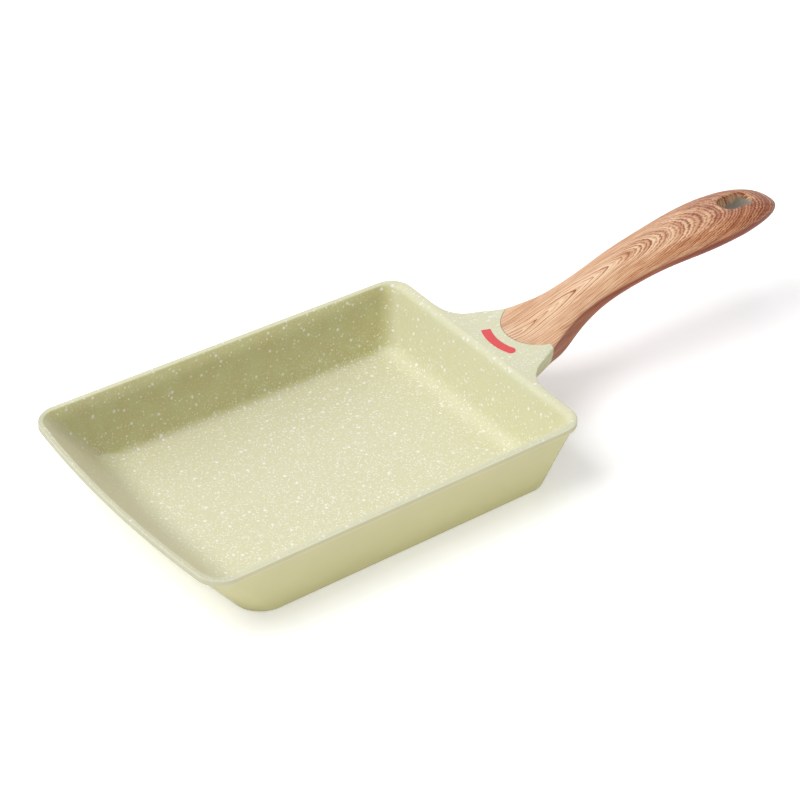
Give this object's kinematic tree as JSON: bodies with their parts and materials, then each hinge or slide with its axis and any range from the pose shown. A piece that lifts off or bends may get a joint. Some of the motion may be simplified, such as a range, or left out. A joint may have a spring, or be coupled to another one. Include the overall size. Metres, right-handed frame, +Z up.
{
  "type": "tamagoyaki pan",
  "caption": "Rectangular non-stick omelette pan with a sloping front wall, a cast shoulder and a wood-look moulded handle with a hang slot.",
  "frame": {"origin": "middle of the flat face that the pan stands on, centred between the base's front and rear edges", "axes": "+X from the pan towards the tip of the handle, +Z up, +Y completes the right-handed frame; the object is symmetric about the XZ plane"},
  "size_m": [0.3562, 0.1442, 0.0589],
  "materials": {
    "coated_casting": "die-cast aluminium with a pale green speckled non-stick coating, satin",
    "handle_moulding": "moulded phenolic with a wood-grain film, satin",
    "plated_steel": "zinc-plated steel",
    "red_inlay": "red heat-resistant enamel inlay",
    "stainless_plate": "brushed magnetic stainless steel"
  },
  "bodies": {
    "root": {"pan_body": "coated_casting", "handle": "handle_moulding", "handle_screw": "plated_steel", "flat_washer": "plated_steel", "spring_washer": "plated_steel", "heat_inlay": "red_inlay", "base_plate": "stainless_plate"}
  },
  "joints": []
}
